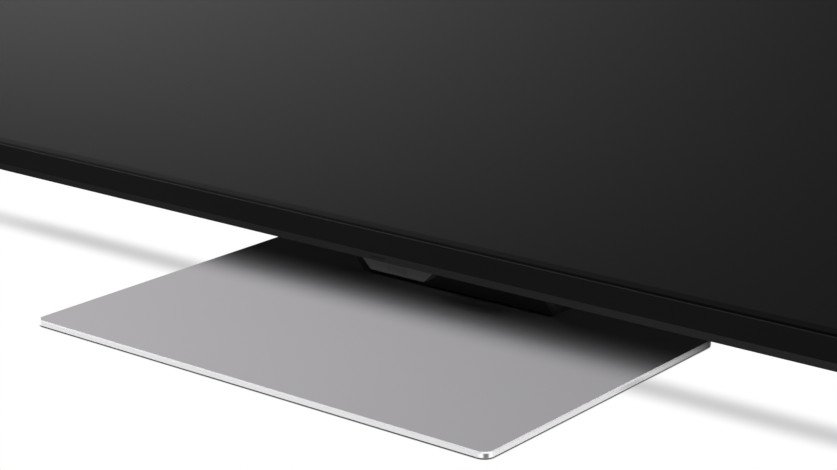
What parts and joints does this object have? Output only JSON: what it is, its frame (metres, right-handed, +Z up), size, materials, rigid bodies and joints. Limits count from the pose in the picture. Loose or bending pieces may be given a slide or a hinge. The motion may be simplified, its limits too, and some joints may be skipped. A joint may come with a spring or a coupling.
{
  "type": "flat screen television",
  "caption": "Slim flat screen television on a thin flat metal plate stand, with a dark bottom bar and a small sensor pod under it.",
  "frame": {"origin": "on the floor, under the centre of the stand plate", "axes": "+X to the right seen from the front, +Y towards the back of the set, +Z up; the screen faces -Y"},
  "size_m": [1.231, 0.31, 0.7848],
  "materials": {
    "plate_metal": "satin silver top with polished bevelled edges",
    "rubber": "matte",
    "screw_steel": "black zinc plated",
    "black_steel": "black powder coat",
    "black_plastic": "fine texture",
    "frame_metal": "dark satin",
    "bar_plastic": "fine satin",
    "cover_plastic": "fine grain",
    "screen_glass": "dark cell glass",
    "screen_film": "anti-glare",
    "white_film": "diffuse white",
    "strip_white": "white solder mask",
    "lens_clear": "clear moulded lens",
    "zinc_steel": "zinc plated",
    "board_green": "solder mask",
    "chip_black": "moulded",
    "sink_aluminium": "extruded",
    "capacitor_aluminium": "sleeved",
    "ribbon_plastic": "flexible film",
    "lead_rubber": "insulated lead",
    "port_metal": "nickel plated",
    "cone_black": "coated cone",
    "pod_plastic": "satin",
    "pod_window": "infrared window"
  },
  "bodies": {
    "set": {"aerial_socket": "port_metal", "back_chassis": "zinc_steel", "backlight_lead": "lead_rubber", "base_feet": "rubber", "base_plate": "plate_metal", "base_screws": "screw_steel", "board_screws": "screw_steel", "board_standoffs": "zinc_steel", "bottom_bezel": "bar_plastic", "cable_holder": "black_plastic", "diffuser_plate": "white_film", "front_frame": "frame_metal", "front_polarizer": "screen_film", "gate_pin": "screw_steel", "hdmi_ports": "port_metal", "heat_sink": "sink_aluminium", "inlet_pins": "port_metal", "lcd_cell": "screen_glass", "led_lenses": "lens_clear", "led_strips": "strip_white", "left_speaker_box": "black_plastic", "main_board": "board_green", "main_board_chips": "chip_black", "neck_bracket": "black_steel", "neck_front_cover": "black_plastic", "neck_screws": "screw_steel", "network_port": "port_metal", "panel_guide": "black_plastic", "panel_ribbons": "ribbon_plastic", "power_board": "board_green", "power_capacitors": "capacitor_aluminium", "power_harness": "lead_rubber", "power_inlet": "black_plastic", "power_transformers": "chip_black", "prism_sheet": "white_film", "quantum_dot_film": "white_film", "rear_cover": "cover_plastic", "rear_cover_screws": "screw_steel", "reflector_sheet": "white_film", "right_speaker_box": "black_plastic", "sensor_board": "board_green", "sensor_pod": "pod_plastic", "sensor_window": "pod_window", "source_boards": "board_green", "source_films": "ribbon_plastic", "speaker_leads": "lead_rubber", "stand_inserts": "zinc_steel", "terminal_panel": "black_plastic", "timing_board": "board_green", "usb_ports": "port_metal", "wall_mount_inserts": "zinc_steel", "wireless_module": "port_metal"},
    "power_button": {"power_button": "pod_plastic"},
    "microphone_switch": {"microphone_switch": "pod_plastic"},
    "left_speaker_cone": {"left_speaker_cone": "cone_black"},
    "right_speaker_cone": {"right_speaker_cone": "cone_black"},
    "neck_rear_cover": {"neck_rear_cover": "black_plastic"},
    "cable_gate": {"cable_gate": "black_plastic"}
  },
  "joints": [
    {"name": "power_button_press", "type": "slide", "parent": "set", "child": "power_button", "axis": [0, 0, 1], "range_m": [0, 0.0007], "stiffness_N_per_m": 500, "springref_m": -0.001},
    {"name": "microphone_switch_slide", "type": "slide", "parent": "set", "child": "microphone_switch", "axis": [1, 0, 0], "range_m": [0, 0.003]},
    {"name": "left_cone_stroke", "type": "slide", "parent": "set", "child": "left_speaker_cone", "axis": [0, 0, 1], "range_m": [-0.001, 0.001], "stiffness_N_per_m": 1500},
    {"name": "right_cone_stroke", "type": "slide", "parent": "set", "child": "right_speaker_cone", "axis": [0, 0, 1], "range_m": [-0.001, 0.001], "stiffness_N_per_m": 1500},
    {"name": "neck_rear_cover_pull", "type": "slide", "parent": "set", "child": "neck_rear_cover", "axis": [0, 1, 0], "range_m": [0, 0.03]},
    {"name": "cable_gate_swing", "type": "hinge", "parent": "set", "child": "cable_gate", "pos_m": [0.1935, 0.0735, 0.12], "axis": [0, 0, -1], "range_deg": [0, 100]}
  ]
}
